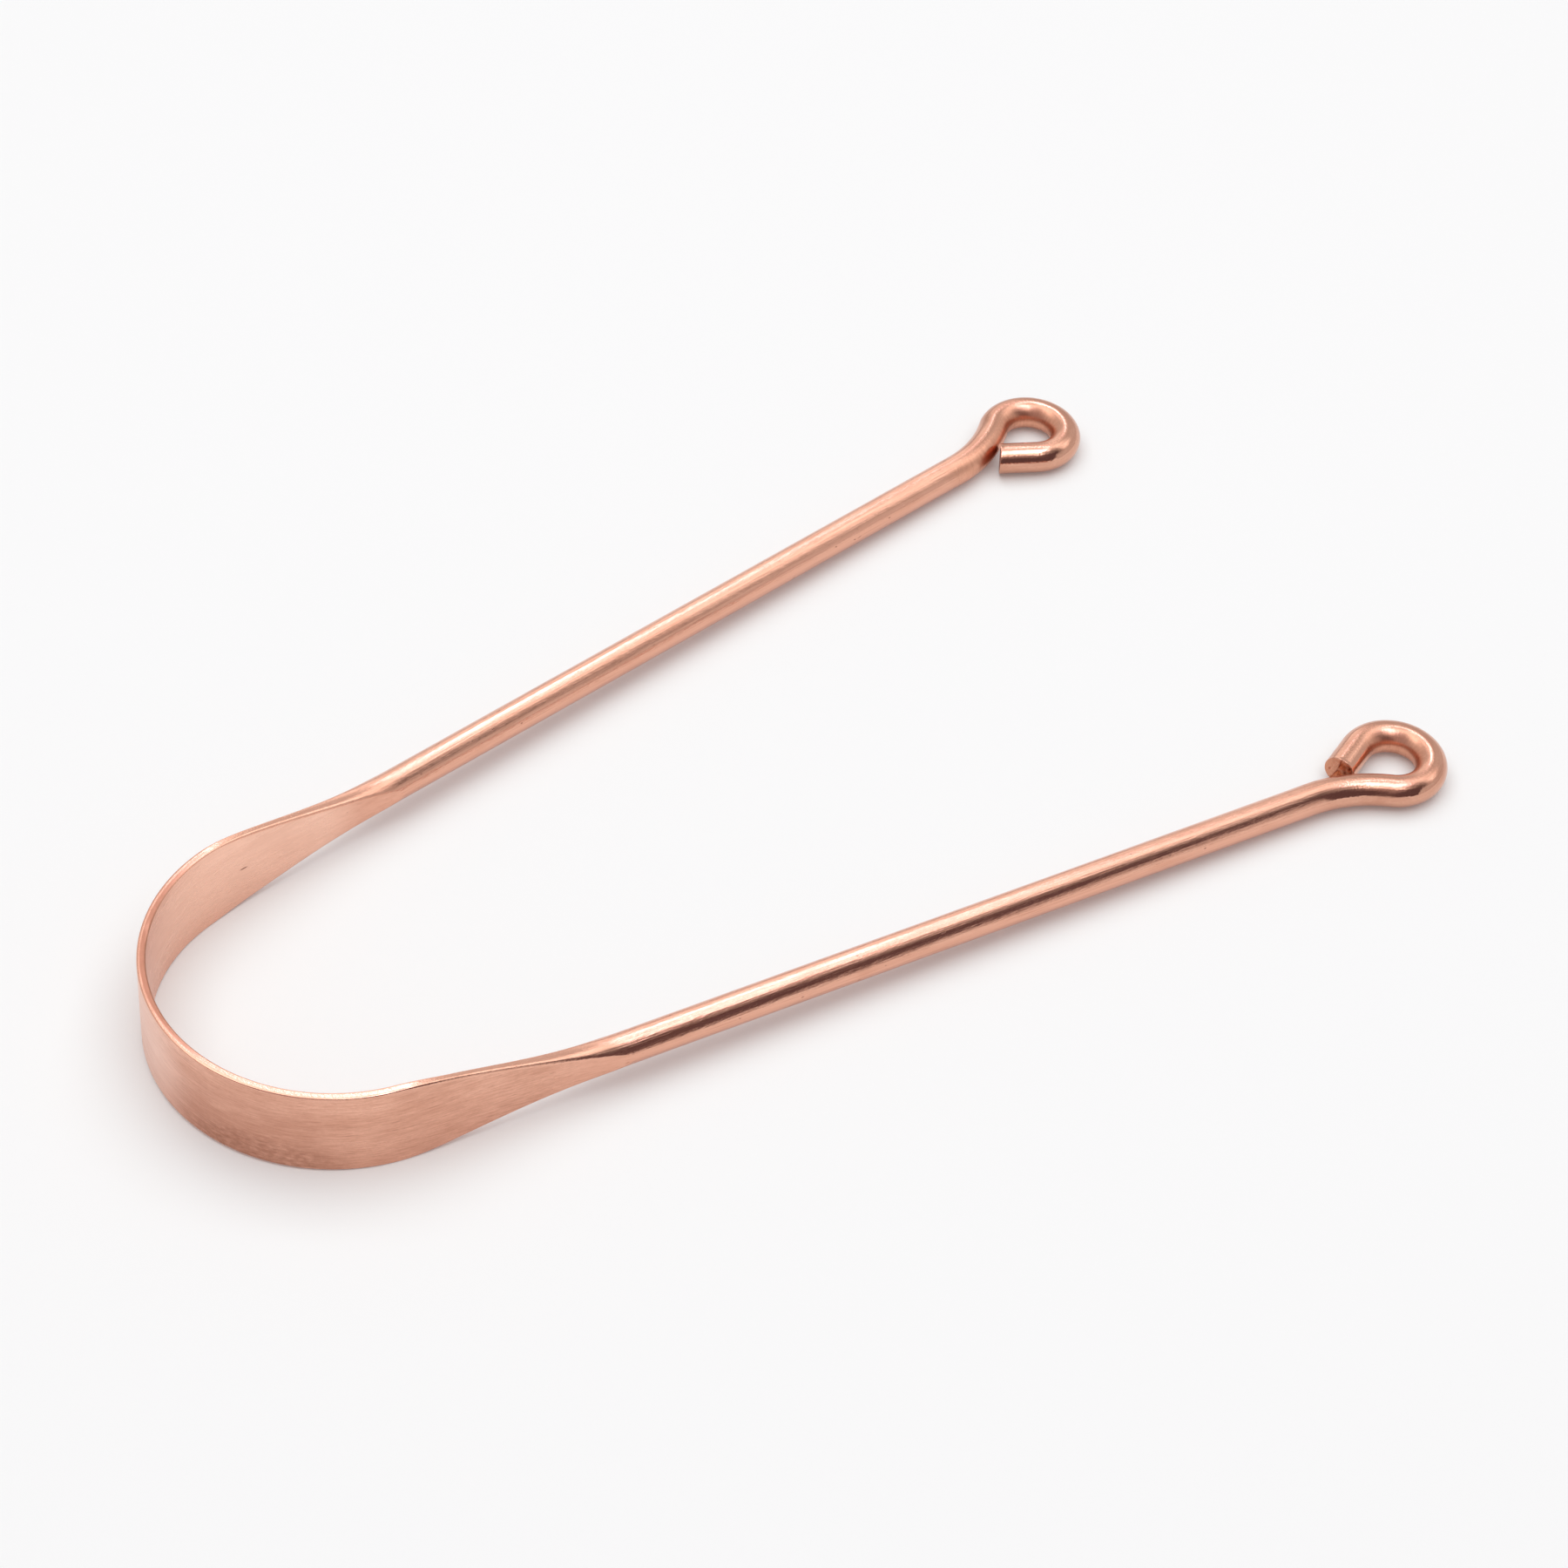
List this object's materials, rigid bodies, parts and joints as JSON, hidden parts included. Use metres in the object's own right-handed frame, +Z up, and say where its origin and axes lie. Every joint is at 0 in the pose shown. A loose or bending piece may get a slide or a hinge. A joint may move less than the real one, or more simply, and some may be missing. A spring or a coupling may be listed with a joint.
{
  "type": "tongue scraper",
  "caption": "Tongue scraper bent from copper wire: a thin flattened band forms the bow, and springy round arms run out from it to curled eyes.",
  "frame": {"origin": "on the table that the scraper lies on, under the middle of its outline", "axes": "+X from the bow to the eyes, +Y towards the left arm, +Z up from the table"},
  "size_m": [0.1286, 0.0708, 0.01],
  "materials": {
    "rolled_copper": "satin, brushed lengthwise",
    "drawn_copper": "bright drawn wire, lightly polished"
  },
  "bodies": {
    "band": {"scraping_band": "rolled_copper"},
    "left_arm": {"left_shoulder": "rolled_copper", "left_handle": "drawn_copper", "left_eye": "drawn_copper"},
    "right_arm": {"right_shoulder": "rolled_copper", "right_handle": "drawn_copper", "right_eye": "drawn_copper"}
  },
  "joints": [
    {"name": "left_flex", "type": "hinge", "parent": "band", "child": "left_arm", "pos_m": [-0.05881, 0.01032, 0.00505], "axis": [0.0229, 0, 0.9997], "range_deg": [-6, 6], "stiffness_Nm_per_rad": 2.5, "deforming": ["scraping_band"]},
    {"name": "right_flex", "type": "hinge", "parent": "band", "child": "right_arm", "pos_m": [-0.05881, -0.01032, 0.00505], "axis": [-0.0229, 0, -0.9997], "range_deg": [-6, 6], "stiffness_Nm_per_rad": 2.5, "deforming": ["scraping_band"]}
  ]
}
